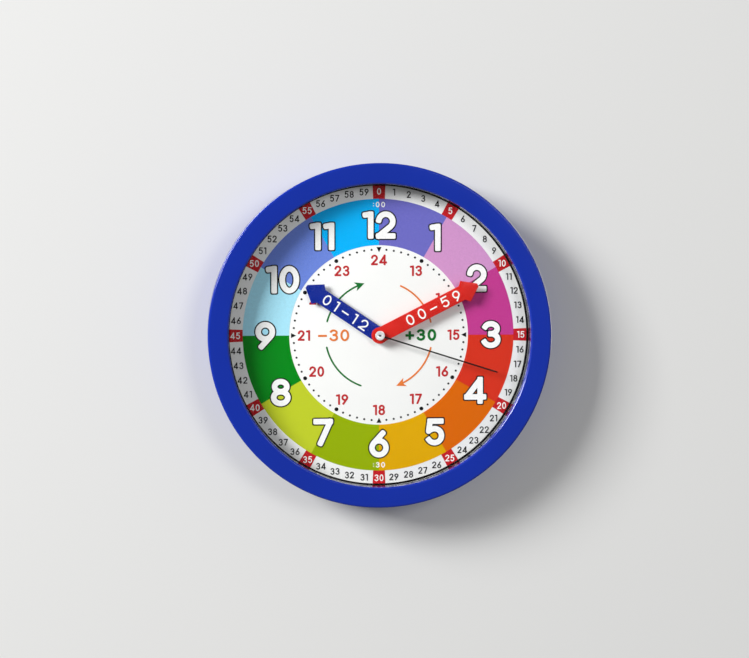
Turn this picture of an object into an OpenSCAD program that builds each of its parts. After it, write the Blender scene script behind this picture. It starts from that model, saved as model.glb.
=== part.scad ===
// Time teaching wall clock: a round blue case with a printed dial, three hands,
// and a battery movement that turns them through a train of small gears.
// Pieces are drawn with the wall at z = 0 and the dial facing +Z. stand_up() then
// turns them, so that the dial faces -Y and twelve o'clock is at +Z.

/* [Case] */
// Outer diameter of the case
case_d = 300; // [260:1:360]
// Thickness of the rim wall
rim_wall = 3; // [2:0.25:4]
// Width of the bezel, from the case's edge to the opening that shows the dial
bezel_w = 18; // [17.5:0.25:30]
// Width of the bevel around that opening
bevel_w = 1; // [0.5:0.25:4]
// Height of that bevel
bevel_h = 0.6; // [0.5:0.05:3.5]
// Thickness of the front flange
flange_t = 4.5; // [4:0.25:8]
// Height of the lip that stands between the flange and the window
lip_h = 3; // [0:0.25:6]
// How far the front face falls towards the opening
face_fall = 0.5; // [0:0.1:0.5]
// Radius of the outer front edge
edge_r = 2; // [1:0.25:6]
// Chamfer on the rear edge that meets the wall
foot_chamfer = 0.8; // [0.2:0.1:1.5]
// How far the window reaches under the flange
lens_lap = 4; // [3:0.25:5]
// Thickness of the window
lens_t = 2; // [1:0.25:4]
// Wall of the collar around the window
collar_t = 2.2; // [1.5:0.1:3]
// Depth of the collar behind the window's front
collar_depth = 4.5; // [3:0.25:8]
// Space between the wall and the movement
wall_gap = 4.5; // [4.2:0.1:12]

/* [Back and dial] */
// Thickness of the back plate
back_t = 2; // [1.5:0.25:4]
// Height of the back plate's ribs
rib_h = 2.5; // [1:0.25:5]
// Thickness of a rib
rib_t = 1.6; // [1:0.1:3]
// Number of radial ribs
rib_count = 12; // [12:12:24]
// Radius of the inner ring rib
rib_ring_r = 50; // [46:1:70]
// Thickness of the dial
dial_t = 0.8; // [0.4:0.1:2]
// Thickness of the rubber gasket
gasket_t = 1; // [0.5:0.1:2]
// Radius of the rubber gasket
gasket_r = 12; // [8:0.5:20]

/* [Screws] */
// Number of case screws
screw_count = 6; // [4:1:8]
// Shank radius of the screws
screw_r = 1.4; // [1:0.1:1.6]
// Head radius of the screws
screw_head_r = 2.7; // [2.2:0.1:3]
// Head height of the screws
screw_head_h = 1.8; // [1.2:0.1:2.5]
// Shank length of the case screws
case_screw_l = 9; // [6:0.5:12]
// Shank length of the hanger screws
hanger_screw_l = 5; // [4:0.25:5.25]
// Width of the cross recess in a screw's head
recess_w = 0.95; // [0.6:0.05:1.2]
// Length of the cross recess
recess_l = 3.8; // [2.5:0.1:4]
// Depth of the cross recess
recess_d = 0.9; // [0.5:0.05:1]
// Radius of the screw bosses
boss_r = 3.6; // [3:0.1:4.2]

/* [Hanger] */
// Radius of the keyhole's round part
key_r = 4.5; // [4:0.25:6]
// Width of the keyhole's slot
key_slot_w = 4.5; // [3.5:0.25:5]
// Length of the slot above the round part's centre
key_slot_l = 13; // [9:0.5:15]
// Height of the keyhole's round part above the bracket's lower edge
key_rise = 12; // [10:0.5:14]
// Sheet thickness of the hanger bracket
hanger_t = 1.2; // [0.8:0.1:2]
// Width of the bracket's bridge
hanger_w = 28; // [22:1:36]
// Height of the bracket
hanger_h = 34; // [30:1:36]
// Width of each foot of the bracket
hanger_foot_w = 11; // [9:0.5:12]
// Distance from the rim's inner wall down to the bracket's upper edge
hanger_drop = 17; // [15:0.5:40]
// Gap between the bracket's bridge and the wall
hanger_gap = 2; // [1:0.25:4]
// Height of the bosses under the bracket's feet
hanger_boss_h = 2.5; // [2:0.25:4]

/* [Hands] */
// Length of the hour hand from its axis
hour_len = 77; // [50:1:90]
// Length of the minute hand from its axis
minute_len = 97; // [70:1:110]
// Length of the second hand from its axis
second_len = 109; // [80:1:110]
// Width of the hour and minute hands
hand_w = 13.3; // [10:0.1:16]
// Width of their arrow heads
head_w = 20.5; // [17:0.5:26]
// Length of their arrow heads
head_l = 15.6; // [10:0.2:20]
// Length of the sloping shoulder behind an arrow head
shoulder_l = 3.5; // [1:0.1:6]
// Width of the blunt tip
tip_w = 3; // [1:0.1:4]
// Radius of the round tail
tail_r = 7.2; // [6.5:0.1:9]
// Thickness of the hour and minute hands
hand_t = 1.5; // [1:0.1:2.5]
// Width of the second hand
second_w = 1.3; // [0.8:0.1:2]
// Thickness of the second hand
second_t = 0.5; // [0.3:0.1:1]
// Radius of the second hand's round eye
second_eye_r = 2.6; // [2:0.1:3.5]
// Radius of the cap on the second hand
cap_r = 4.15; // [3.8:0.05:6]
// Height of that cap
cap_h = 1.1; // [0.9:0.1:2]
// Radius of the dimple in that cap
dimple_r = 1.8; // [1:0.1:2.5]
// Depth of that dimple
dimple_d = 0.33; // [0.1:0.01:0.5]
// Gap between one hand and the next
hand_gap = 1.3; // [0.9:0.1:3]
// Gap between the bush nut and the hour hand
nut_gap = 0.6; // [0.5:0.1:2]
// Gap between the cap and the window
lens_gap = 0.9; // [0.4:0.1:3]
// Direction of the hour hand, clockwise from twelve
hour_angle = 304; // [0:1:359]
// Direction of the minute hand, clockwise from twelve
minute_angle = 63; // [0:1:359]
// Direction of the second hand, clockwise from twelve
second_angle = 107.5; // [0:0.5:359]

/* [Movement housing] */
// Wall of the movement's housing
mv_wall = 1.3; // [1:0.1:2]
// Height of the housing above the hand axis
mv_top = 28; // [28:0.5:34]
// Thickness of the housing's front plate
mv_front_t = 1.5; // [1.3:0.1:2.5]
// Thickness of the housing's rear cover
cover_t = 1.5; // [1.3:0.1:2.5]
// Wall between the gears and the battery
divider_t = 1; // [0.8:0.1:2]
// Diameter of the battery
battery_d = 14.2; // [13.5:0.1:14.5]
// Length of the battery with its nub
battery_l = 50.5; // [49.2:0.1:50.5]
// Radius of the threaded bush
bush_r = 4; // [3.5:0.1:5]
// Width of the bush nut across its flats
nut_w = 11; // [10.8:0.1:12]
// Thickness of the bush nut
nut_t = 2; // [1.5:0.1:3]
// Radius of the washer under the nut
washer_r = 6.4; // [6:0.1:9]
// Thickness of that washer
washer_t = 0.5; // [0.3:0.1:1]
// Radius of the setting knob
knob_r = 6; // [4:0.5:9]
// Height of the setting knob
knob_h = 3.4; // [2:0.1:3.5]

/* [Gears] */
// Module of the wheels that turn the second hand
second_module = 0.3; // [0.3:0.01:0.32]
// Module of the rotor's gears
rotor_module = 0.25; // [0.25:0.01:0.28]
// Module of the centre wheel
centre_module = 0.24; // [0.24:0.005:0.25]
// Module of the motion works that turn the hour hand
motion_module = 0.4; // [0.4:0.01:0.42]
// Thickness of a wheel
wheel_t = 1; // [0.8:0.1:1.2]
// Radius of the thin arbors
arbor_r = 0.45; // [0.35:0.05:0.5]
// Radius of the second hand's arbor
second_arbor_r = 0.5; // [0.4:0.05:0.6]
// Wall of the minute pipe
minute_pipe_t = 1.05; // [0.8:0.05:1.2]
// Wall of the hour pipe
hour_pipe_t = 0.85; // [0.6:0.05:0.9]
// Radius of the setting stem
stem_r = 1.5; // [1.2:0.1:1.8]

/* [Motor and circuit] */
// Radius of the rotor's magnet
magnet_r = 3; // [2:0.1:3.2]
// Height of the rotor's magnet
magnet_h = 3.5; // [2.5:0.1:4]
// Air gap between the magnet and the stator
air_gap = 0.5; // [0.4:0.05:0.8]
// Width of the stator's ring
stator_ring_w = 1; // [0.8:0.05:1]
// Width of the stator's arms
stator_arm_w = 3.6; // [3:0.1:4]
// Thickness of the stator and of the coil's core
stator_t = 1.2; // [0.8:0.1:1.4]
// Radius of the coil's winding
coil_r = 3.1; // [2.6:0.1:3.2]
// Length of the coil between its flanges
coil_l = 21; // [16:0.5:22]
// Thickness of the circuit board
board_t = 0.8; // [0.6:0.1:1.6]
// Width of the circuit board
board_w = 15; // [12:0.5:15]
// Height of the circuit board
board_h = 12; // [11:0.5:12.5]

/* [Hidden] */
$fn = 96;

// Clearances: a turning shaft in its hole, a part in its seat, two moving faces
run_gap = 0.05;
fit_gap = 0.3;
move_gap = 0.3;
// Clearance of a hand or knob that is pushed onto its pipe
push_gap = 0.02;
// Depth by which a fused boss, web or rib sinks into its neighbour in the same piece
sink = 0.2;
// How far a cut runs past the faces that it opens
over = 1;

// Tooth counts. The second wheel turns once a minute, the centre wheel once an hour
second_teeth = 60;
second_pinion_teeth = 10;
third_teeth = 75;
third_pinion_teeth = 10;
centre_teeth = 80;
cannon_teeth = 15;
motion_teeth = 45;
motion_pinion_teeth = 12;
hour_teeth = 48;
intermediate_teeth = 60;
intermediate_pinion_teeth = 12;
rotor_teeth = 10;

// Tooth form: pressure angle, heights as shares of the module, thinning, points on a flank
pressure_angle = 20;
wheel_addendum = 0.55;
pinion_addendum = 0.8;
tip_gap = 0.25;
tooth_thinning = 0.03;
flank_steps = 3;

// Places of the arbors, seen from the front with the hand axis at the origin
function polar(r, a) = [r * cos(a), r * sin(a)];
function apart(m, z1, z2) = m * (z1 + z2) / 2;
third_at_angle = 90;
motion_at_angle = 165;
intermediate_at_angle = 15;
rotor_at_angle = 60;
third_reach = apart(centre_module, centre_teeth, third_pinion_teeth);
third_module = 2 * third_reach / (third_teeth + second_pinion_teeth);
third_at = polar(third_reach, third_at_angle);
motion_at = polar(apart(motion_module, cannon_teeth, motion_teeth), motion_at_angle);
intermediate_at = polar(
  apart(second_module, second_teeth, intermediate_pinion_teeth), intermediate_at_angle);
rotor_at = intermediate_at
  + polar(apart(rotor_module, intermediate_teeth, rotor_teeth), rotor_at_angle);
axis_at = [0, 0];

// Levels in the movement, from its rear face
wheel_lift = 0.6;
pinion_reach = 1.2;
second_lift = 0.8;
clutch_t = 0.3;
clutch_room = 0.8;
// How far a pinion's teeth run past the wheel that they meet
pinion_lap = 0.2;
intermediate_z = cover_t + wheel_lift;
second_z = intermediate_z + wheel_t + second_lift;
third_z = second_z + wheel_t + pinion_reach;
centre_z = third_z + wheel_t + pinion_reach;
motion_z = centre_z + wheel_t + clutch_room;
hour_z = motion_z + wheel_t + pinion_reach;
chamber_z1 = hour_z + wheel_t + pinion_reach;
movement_t = chamber_z1 + mv_front_t;

// Levels of the whole clock, from the wall
movement_z0 = wall_gap;
movement_z1 = movement_z0 + movement_t;
back_z0 = movement_z1 + gasket_t;
back_z1 = back_z0 + back_t;
dial_z1 = back_z1 + dial_t;
nut_z0 = dial_z1 + washer_t;
bush_z1 = nut_z0 + nut_t + nut_gap - move_gap;
hour_hand_z0 = nut_z0 + nut_t + nut_gap;
minute_hand_z0 = hour_hand_z0 + hand_t + hand_gap;
second_hand_z0 = minute_hand_z0 + hand_t + hand_gap;
cap_z0 = second_hand_z0 + second_t;
lens_z0 = cap_z0 + cap_h + lens_gap;
lens_z1 = lens_z0 + lens_t;
flange_z0 = lens_z1 + lip_h;
case_z1 = flange_z0 + flange_t;

// Radii of the case
case_r = case_d / 2;
inner_r = case_r - rim_wall;
sight_r = case_r - bezel_w;
rebate_r = sight_r + lens_lap;
collar_r = rebate_r + collar_t;
boss_at_r = (collar_r + inner_r) / 2;
seat_r = rebate_r - fit_gap;
screw_turn = 360 / screw_count;
screw_start = 30;
pilot_r = screw_r + run_gap;
screw_hole_r = screw_r + fit_gap;
pilot_spare = 0.6;

// Radii on the hand axis
minute_bore_r = second_arbor_r + run_gap;
minute_pipe_r = minute_bore_r + minute_pipe_t;
hour_bore_r = minute_pipe_r + run_gap;
hour_pipe_r = hour_bore_r + hour_pipe_t;
bush_bore_r = hour_pipe_r + run_gap;
bush_hole_r = bush_r + fit_gap;
pivot_hole_r = arbor_r + run_gap;
pivot_depth = 0.9;
pivot_spare = 0.1;
// The cap's socket for the second arbor stops short of the dimple
cap_web = 0.22;
cap_socket = cap_h - dimple_d - cap_web;

// Places in the movement
battery_slack = 0.3;
contact_t = 0.4;
contact_room = 1.45;
contact_spare = 0.15;
tooth_room = 1;
chamber_y0 = -(tip_r(motion_module, hour_teeth, wheel_addendum) + tooth_room);
trough_y1 = chamber_y0 - divider_t;
trough_y0 = trough_y1 - battery_d - 2 * battery_slack;
mv_y0 = trough_y0 - mv_wall;
battery_y = (trough_y0 + trough_y1) / 2;
battery_z = chamber_z1 - fit_gap - battery_d / 2;
stator_hole_r = magnet_r + air_gap;
stator_r = stator_hole_r + stator_ring_w;
coil_flange_t = 1;
coil_flange_lip = 0.3;
coil_flange_r = coil_r + coil_flange_lip;
coil_x = rotor_at[0] + stator_r + fit_gap + coil_flange_r;
mv_half_w = max(battery_l / 2 + contact_room, coil_x + coil_flange_r + fit_gap) + mv_wall;
chamber_y1 = mv_top - mv_wall;
chamber_x1 = mv_half_w - mv_wall;

// Gears
function tip_r(m, z, addendum) = m * (z / 2 + addendum);
function root_r(m, z, mate_addendum) = m * (z / 2 - mate_addendum - tip_gap);
function base_r(m, z) = m * z * cos(pressure_angle) / 2;
function involute(a) = tan(a) * 180 / PI - a;
// Half of a tooth's angle at radius r, which widens to its pitch width at the pitch circle
function half_tooth(m, z, r) =
  90 / z - tooth_thinning / (m * z) * 180 / PI
  + involute(pressure_angle) - involute(acos(min(1, base_r(m, z) / r)));
// One flank from root to tip as [radius, half angle] pairs
function flank(m, z, addendum, mate_addendum) =
  let (low = root_r(m, z, mate_addendum), start = max(low, base_r(m, z)),
       high = tip_r(m, z, addendum))
  concat(
    start > low ? [[low, half_tooth(m, z, start)]] : [],
    [for (i = [0:flank_steps]) let (r = start + (high - start) * i / flank_steps)
      [r, half_tooth(m, z, r)]]);
function gear_points(m, z, addendum, mate_addendum) =
  let (side = flank(m, z, addendum, mate_addendum), last = len(side) - 1)
  [for (k = [0:z - 1]) for (i = [0:2 * last + 1])
    let (p = i <= last ? side[i] : side[2 * last + 1 - i])
    polar(p[0], k * 360 / z + (i <= last ? -p[1] : p[1]))];
// Turn of a gear with zb teeth that meshes, in direction a, with a gear of za teeth turned by phase
function mesh_turn(a, phase, za, zb) = a + 180 + 180 / zb - (phase - a) * za / zb;

third_turn = mesh_turn(third_at_angle, 0, second_pinion_teeth, third_teeth);
centre_turn = mesh_turn(third_at_angle + 180, 0, third_pinion_teeth, centre_teeth);
intermediate_turn = mesh_turn(
  intermediate_at_angle, 0, second_teeth, intermediate_pinion_teeth);
rotor_turn = mesh_turn(rotor_at_angle, 0, intermediate_teeth, rotor_teeth);
motion_turn = mesh_turn(motion_at_angle, 0, cannon_teeth, motion_teeth);
hour_turn = mesh_turn(motion_at_angle + 180, 0, motion_pinion_teeth, hour_teeth);

module wheel(m, z, t, turn = 0) {
  rotate(turn) linear_extrude(t) polygon(gear_points(m, z, wheel_addendum, pinion_addendum));
}

module pinion(m, z, t, turn = 0) {
  rotate(turn) linear_extrude(t) polygon(gear_points(m, z, pinion_addendum, wheel_addendum));
}

// Shapes that repeat

module stand_up() {
  rotate([90, 0, 0]) children();
}

// In the movement's own levels, at one of its arbors
module in_movement(at = axis_at) {
  stand_up() translate([at[0], at[1], movement_z0]) children();
}

module tube(r, bore, h) {
  difference() {
    cylinder(r = r, h = h);
    translate([0, 0, -over]) cylinder(r = bore, h = h + 2 * over);
  }
}

module box(x0, x1, y0, y1, z0, z1) {
  translate([x0, y0, z0]) cube([x1 - x0, y1 - y0, z1 - z0]);
}

module at_screws() {
  for (i = [0:screw_count - 1]) rotate(screw_start + i * screw_turn)
    translate([boss_at_r, 0, 0]) children();
}

hanger_screw_x = hanger_w / 2 + hanger_foot_w / 2;
hanger_y1 = inner_r - hanger_drop;
hanger_y0 = hanger_y1 - hanger_h;
key_y = hanger_y0 + key_rise;
hanger_screw_y = hanger_y0 + hanger_h / 2;
hanger_seat_z = back_z0 - hanger_boss_h;

module at_hanger_screws() {
  for (side = [-1, 1]) translate([side * hanger_screw_x, hanger_screw_y, 0]) children();
}

// A screw whose head's seat is at z = 0, with a cross recess
module screw(shank) {
  difference() {
    union() {
      translate([0, 0, -screw_head_h]) cylinder(r = screw_head_r, h = screw_head_h);
      cylinder(r = screw_r, h = shank);
    }
    for (a = [0, 90]) rotate(a) translate([0, 0, -screw_head_h])
      cube([recess_l, recess_w, 2 * recess_d], center = true);
  }
}

// A thin arbor from the pivot hole in the cover to the one in the front plate
module arbor() {
  z0 = cover_t - pivot_depth + pivot_spare;
  z1 = chamber_z1 + pivot_depth - pivot_spare;
  translate([0, 0, z0]) cylinder(r = arbor_r, h = z1 - z0);
}

function arc(c, r, a0, a1, n) = [for (i = [0:n]) c + polar(r, a0 + (a1 - a0) * i / n)];

// Case

module case_profile() {
  edge_steps = 8;
  polygon(concat(
    [[inner_r, 0], [case_r - foot_chamfer, 0], [case_r, foot_chamfer]],
    arc([case_r - edge_r, case_z1 - edge_r], edge_r, 0, 90, edge_steps),
    [[sight_r + bevel_w, case_z1 - face_fall], [sight_r, case_z1 - face_fall - bevel_h],
     [sight_r, lens_z1], [rebate_r, lens_z1], [rebate_r, lens_z1 - collar_depth],
     [collar_r, lens_z1 - collar_depth], [collar_r, flange_z0], [inner_r, flange_z0]]));
}

module case_ring() {
  boss_h = flange_z0 + sink - back_z1;
  web_t = 2;
  color([0.10, 0.21, 0.61]) stand_up() difference() {
    union() {
      rotate_extrude($fn = 180) case_profile();
      at_screws() translate([0, 0, back_z1]) {
        cylinder(r = boss_r, h = boss_h);
        box(0, inner_r + sink - boss_at_r, -web_t / 2, web_t / 2, 0, boss_h);
      }
    }
    at_screws() translate([0, 0, back_z1 - sink])
      cylinder(r = pilot_r, h = case_screw_l - back_t + pilot_spare + sink);
  }
}

module lens() {
  color([0.92, 0.96, 1.0, 0.25]) stand_up() translate([0, 0, lens_z0])
    cylinder(r = seat_r, h = lens_t, $fn = 180);
}

module spacer_ring() {
  color([0.05, 0.05, 0.06]) stand_up() translate([0, 0, dial_z1])
    tube(seat_r, sight_r, lens_z0 - dial_z1, $fn = 180);
}

module dial() {
  color([0.95, 0.95, 0.93]) stand_up() translate([0, 0, back_z1])
    tube(seat_r, bush_hole_r, dial_t, $fn = 180);
}

module back_plate() {
  back_r = inner_r - fit_gap;
  rib_inset = 3.2;
  rib_end_r = collar_r - rib_inset;
  rib_turn = 360 / rib_count;
  color([0.12, 0.13, 0.16]) stand_up() difference() {
    union() {
      translate([0, 0, back_z0]) cylinder(r = back_r, h = back_t, $fn = 180);
      for (r = [rib_ring_r, rib_end_r]) translate([0, 0, back_z0 - rib_h])
        tube(r + rib_t / 2, r - rib_t / 2, rib_h + sink);
      for (i = [0:rib_count - 1]) rotate((i + 0.5) * rib_turn)
        box(rib_ring_r, rib_end_r, -rib_t / 2, rib_t / 2, back_z0 - rib_h, back_z0 + sink);
      at_hanger_screws() translate([0, 0, hanger_seat_z])
        cylinder(r = boss_r, h = hanger_boss_h + sink);
    }
    translate([0, 0, back_z0 - sink]) cylinder(r = bush_hole_r, h = back_t + 2 * sink);
    at_screws() translate([0, 0, back_z0 - sink]) cylinder(r = screw_hole_r, h = back_t + 2 * sink);
    at_hanger_screws() translate([0, 0, hanger_seat_z - sink])
      cylinder(r = pilot_r, h = hanger_screw_l - hanger_t + fit_gap + sink);
  }
}

module case_screws() {
  color([0.70, 0.71, 0.73]) stand_up() at_screws() translate([0, 0, back_z0]) screw(case_screw_l);
}

// Hanger

module keyhole() {
  slot_r = key_slot_w / 2;
  translate([0, key_y, 0]) {
    cylinder(r = key_r, h = 3 * hanger_t, center = true);
    translate([0, key_slot_l, 0]) cylinder(r = slot_r, h = 3 * hanger_t, center = true);
    translate([-slot_r, 0, -1.5 * hanger_t]) cube([key_slot_w, key_slot_l, 3 * hanger_t]);
  }
}

module hanger_bracket() {
  half_w = hanger_w / 2;
  foot_z0 = hanger_seat_z - hanger_t;
  color([0.75, 0.76, 0.78]) stand_up() difference() {
    union() {
      box(-half_w, half_w, hanger_y0, hanger_y1, hanger_gap, hanger_gap + hanger_t);
      for (side = [0, 1]) mirror([side, 0, 0]) {
        box(half_w - hanger_t, half_w, hanger_y0, hanger_y1, hanger_gap, hanger_seat_z);
        box(half_w - hanger_t, half_w + hanger_foot_w, hanger_y0, hanger_y1, foot_z0, hanger_seat_z);
      }
    }
    translate([0, 0, hanger_gap + hanger_t / 2]) keyhole();
    at_hanger_screws() translate([0, 0, foot_z0 - sink])
      cylinder(r = screw_hole_r, h = hanger_t + 2 * sink);
  }
}

module hanger_screws() {
  color([0.70, 0.71, 0.73]) stand_up() at_hanger_screws()
    translate([0, 0, hanger_seat_z - hanger_t]) screw(hanger_screw_l);
}

// Movement housing

board_x0 = -chamber_x1 + fit_gap;
board_y1 = chamber_y1 - fit_gap;
board_lift = 2.6;
board_z = cover_t + board_lift;
post_inset = 2.5;
// Distance of the crystal's end and of the chip from the board's upper left corner
crystal_at = [4, -3];
chip_at = [7.5, -7.5];
stator_drop = 0.6;
stator_z = third_z - stator_drop;
stator_shift = 0.7;
stator_arm_x = rotor_at[0] + stator_shift;
// Height of the coil's middle above the hand axis
coil_y = 6.75;
coil_half_l = coil_l / 2 + coil_flange_t;
stator_end_y = coil_half_l + fit_gap + stator_arm_w / 2;
post_r = 1.3;

module at_board_posts() {
  for (x = [post_inset, board_w - post_inset])
    translate([board_x0 + x, board_y1 - post_inset, 0]) children();
}

module at_stator_posts() {
  for (side = [-1, 1]) translate([stator_arm_x, coil_y + side * stator_end_y, 0]) children();
}

module movement_case() {
  h = movement_t;
  post_sink = chamber_z1 + sink;
  board_post_z = board_z + board_t;
  stator_post_z = stator_z + stator_t;
  color([0.08, 0.08, 0.09]) in_movement() difference() {
    union() {
      box(-mv_half_w, mv_half_w, mv_y0, mv_top, chamber_z1, h);
      box(-mv_half_w, mv_half_w, mv_y0, trough_y0, 0, h);
      box(-mv_half_w, mv_half_w, trough_y1, chamber_y0, cover_t, h);
      box(-mv_half_w, mv_half_w, chamber_y1, mv_top, cover_t, h);
      for (side = [0, 1]) mirror([side, 0, 0]) {
        box(chamber_x1, mv_half_w, mv_y0, trough_y1, 0, h);
        box(chamber_x1, mv_half_w, trough_y1, mv_top, cover_t, h);
      }
      translate([0, 0, chamber_z1]) cylinder(r = bush_r, h = bush_z1 - movement_z0 - chamber_z1);
      at_board_posts() translate([0, 0, board_post_z])
        cylinder(r = post_r, h = post_sink - board_post_z);
      at_stator_posts() translate([0, 0, stator_post_z])
        cylinder(r = post_r, h = post_sink - stator_post_z);
    }
    translate([0, 0, chamber_z1 - sink]) cylinder(r = bush_bore_r, h = bush_z1);
    for (at = [third_at, intermediate_at, rotor_at, motion_at])
      translate([at[0], at[1], chamber_z1 - sink])
        cylinder(r = pivot_hole_r, h = pivot_depth + sink);
  }
}

module movement_cover() {
  color([0.10, 0.10, 0.11]) in_movement() difference() {
    box(-mv_half_w, mv_half_w, trough_y1, mv_top, 0, cover_t);
    for (at = [axis_at, third_at, intermediate_at, rotor_at])
      translate([at[0], at[1], cover_t - pivot_depth])
        cylinder(r = (at == axis_at ? second_arbor_r : arbor_r) + run_gap, h = pivot_depth + sink);
    translate([motion_at[0], motion_at[1], -sink])
      cylinder(r = stem_r + run_gap, h = cover_t + 2 * sink);
  }
}

module rubber_gasket() {
  color([0.15, 0.15, 0.15]) stand_up() translate([0, 0, movement_z1])
    tube(gasket_r, bush_hole_r, gasket_t);
}

module bush_washer() {
  color([0.80, 0.70, 0.40]) stand_up() translate([0, 0, dial_z1])
    tube(washer_r, bush_hole_r, washer_t);
}

module bush_nut() {
  color([0.80, 0.70, 0.40]) stand_up() translate([0, 0, nut_z0]) difference() {
    cylinder(r = nut_w / sqrt(3), h = nut_t, $fn = 6);
    translate([0, 0, -over]) cylinder(r = bush_r + run_gap, h = nut_t + 2 * over);
  }
}

// Wheels on the hand axis

module hour_wheel() {
  pipe_top = hour_hand_z0 + hand_t + move_gap - movement_z0;
  color([0.92, 0.92, 0.88]) in_movement() difference() {
    union() {
      translate([0, 0, hour_z]) wheel(motion_module, hour_teeth, wheel_t, hour_turn);
      translate([0, 0, hour_z]) cylinder(r = hour_pipe_r, h = pipe_top - hour_z);
    }
    cylinder(r = hour_bore_r, h = pipe_top + over);
  }
}

module minute_pipe() {
  flange_h = 0.2;
  flange_lip = 0.5;
  z0 = centre_z - move_gap / 2 - flange_h;
  pipe_top = minute_hand_z0 + hand_t + move_gap - movement_z0;
  color([0.80, 0.68, 0.36]) in_movement() difference() {
    union() {
      translate([0, 0, z0]) cylinder(r = minute_pipe_r + flange_lip, h = flange_h);
      translate([0, 0, z0]) cylinder(r = minute_pipe_r, h = pipe_top - z0);
      translate([0, 0, motion_z - pinion_lap])
        pinion(motion_module, cannon_teeth, wheel_t + 2 * pinion_lap);
    }
    cylinder(r = minute_bore_r, h = pipe_top + over);
  }
}

module centre_wheel() {
  color([0.92, 0.92, 0.88]) in_movement() translate([0, 0, centre_z]) difference() {
    wheel(centre_module, centre_teeth, wheel_t, centre_turn);
    translate([0, 0, -over]) cylinder(r = minute_pipe_r + run_gap, h = wheel_t + 2 * over);
  }
}

// The clutch's spring washer: a ring with three tongues cut in from its rim
module clutch_spring() {
  ring_w = 2;
  ring_r = minute_pipe_r + ring_w;
  slit_w = 0.4;
  slit_l = 1;
  color([0.80, 0.80, 0.82]) in_movement() translate([0, 0, centre_z + wheel_t]) difference() {
    tube(ring_r, minute_pipe_r + run_gap, clutch_t);
    for (a = [0, 120, 240]) rotate(a)
      box(ring_r - slit_l, ring_r + over, -slit_w / 2, slit_w / 2, -over, clutch_t + over);
  }
}

module second_wheel() {
  arbor_z0 = cover_t - pivot_depth + pivot_spare;
  arbor_top = cap_z0 + cap_socket - pivot_spare - movement_z0;
  pinion_z1 = third_z + wheel_t + pinion_lap;
  color([0.92, 0.92, 0.88]) in_movement() union() {
    translate([0, 0, second_z]) wheel(second_module, second_teeth, wheel_t);
    translate([0, 0, second_z])
      pinion(third_module, second_pinion_teeth, pinion_z1 - second_z);
    translate([0, 0, arbor_z0]) cylinder(r = second_arbor_r, h = arbor_top - arbor_z0);
  }
}

// Wheels on their own arbors

module third_wheel() {
  pinion_z1 = centre_z + wheel_t + pinion_lap;
  color([0.92, 0.92, 0.88]) in_movement(third_at) union() {
    translate([0, 0, third_z]) wheel(third_module, third_teeth, wheel_t, third_turn);
    translate([0, 0, third_z]) pinion(centre_module, third_pinion_teeth, pinion_z1 - third_z);
    arbor();
  }
}

module intermediate_wheel() {
  pinion_z1 = second_z + wheel_t + pinion_lap;
  color([0.92, 0.92, 0.88]) in_movement(intermediate_at) union() {
    translate([0, 0, intermediate_z]) wheel(rotor_module, intermediate_teeth, wheel_t);
    translate([0, 0, intermediate_z])
      pinion(second_module, intermediate_pinion_teeth, pinion_z1 - intermediate_z, intermediate_turn);
    arbor();
  }
}

module motion_wheel() {
  pinion_z1 = hour_z + wheel_t + pinion_lap;
  stem_z0 = -wall_gap + hanger_gap;
  pivot_z1 = chamber_z1 + pivot_depth - pivot_spare;
  color([0.92, 0.92, 0.88]) in_movement(motion_at) union() {
    translate([0, 0, motion_z]) wheel(motion_module, motion_teeth, wheel_t, motion_turn);
    translate([0, 0, motion_z]) pinion(motion_module, motion_pinion_teeth, pinion_z1 - motion_z);
    translate([0, 0, motion_z]) cylinder(r = arbor_r, h = pivot_z1 - motion_z);
    translate([0, 0, stem_z0]) cylinder(r = stem_r, h = motion_z + sink - stem_z0);
  }
}

module set_knob() {
  knurls = 30;
  knurl_r = 0.35;
  web = 0.8;
  z0 = -move_gap - knob_h;
  stem_z0 = -wall_gap + hanger_gap;
  color([0.06, 0.06, 0.07]) in_movement(motion_at) difference() {
    translate([0, 0, z0]) cylinder(r = knob_r, h = knob_h);
    for (i = [0:knurls - 1]) rotate(i * 360 / knurls) translate([knob_r, 0, z0 - over])
      cylinder(r = knurl_r, h = knob_h + 2 * over, $fn = 6);
    translate([0, 0, max(stem_z0, z0 + web)]) cylinder(r = stem_r + push_gap, h = knob_h + over);
  }
}

// Motor

module rotor_pinion() {
  color([0.85, 0.85, 0.80]) in_movement(rotor_at) union() {
    translate([0, 0, intermediate_z - pinion_lap])
      pinion(rotor_module, rotor_teeth, wheel_t + 2 * pinion_lap, rotor_turn);
    arbor();
  }
}

module rotor_magnet() {
  z0 = stator_z + stator_t / 2 - magnet_h / 2;
  color([0.30, 0.30, 0.32]) in_movement(rotor_at) translate([0, 0, z0])
    tube(magnet_r, arbor_r + push_gap, magnet_h);
}

module stator() {
  arm_x1 = coil_x + stator_arm_w / 2;
  color([0.62, 0.63, 0.65]) in_movement() translate([0, 0, stator_z]) difference() {
    union() {
      translate([rotor_at[0], rotor_at[1], 0]) cylinder(r = stator_r, h = stator_t);
      box(stator_arm_x - stator_arm_w / 2, stator_arm_x + stator_arm_w / 2,
          coil_y - stator_end_y - stator_arm_w / 2, coil_y + stator_end_y + stator_arm_w / 2,
          0, stator_t);
      for (side = [-1, 1]) translate([0, coil_y + side * stator_end_y, 0])
        box(stator_arm_x, arm_x1, -stator_arm_w / 2, stator_arm_w / 2, 0, stator_t);
    }
    translate([rotor_at[0], rotor_at[1], -over])
      cylinder(r = stator_hole_r, h = stator_t + 2 * over);
  }
}

core_w = 2;
core_inset = 0.4;
core_end_y = stator_end_y + stator_arm_w / 2 - core_inset;
core_z = stator_z + stator_t;
coil_z = core_z + stator_t / 2;

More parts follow.
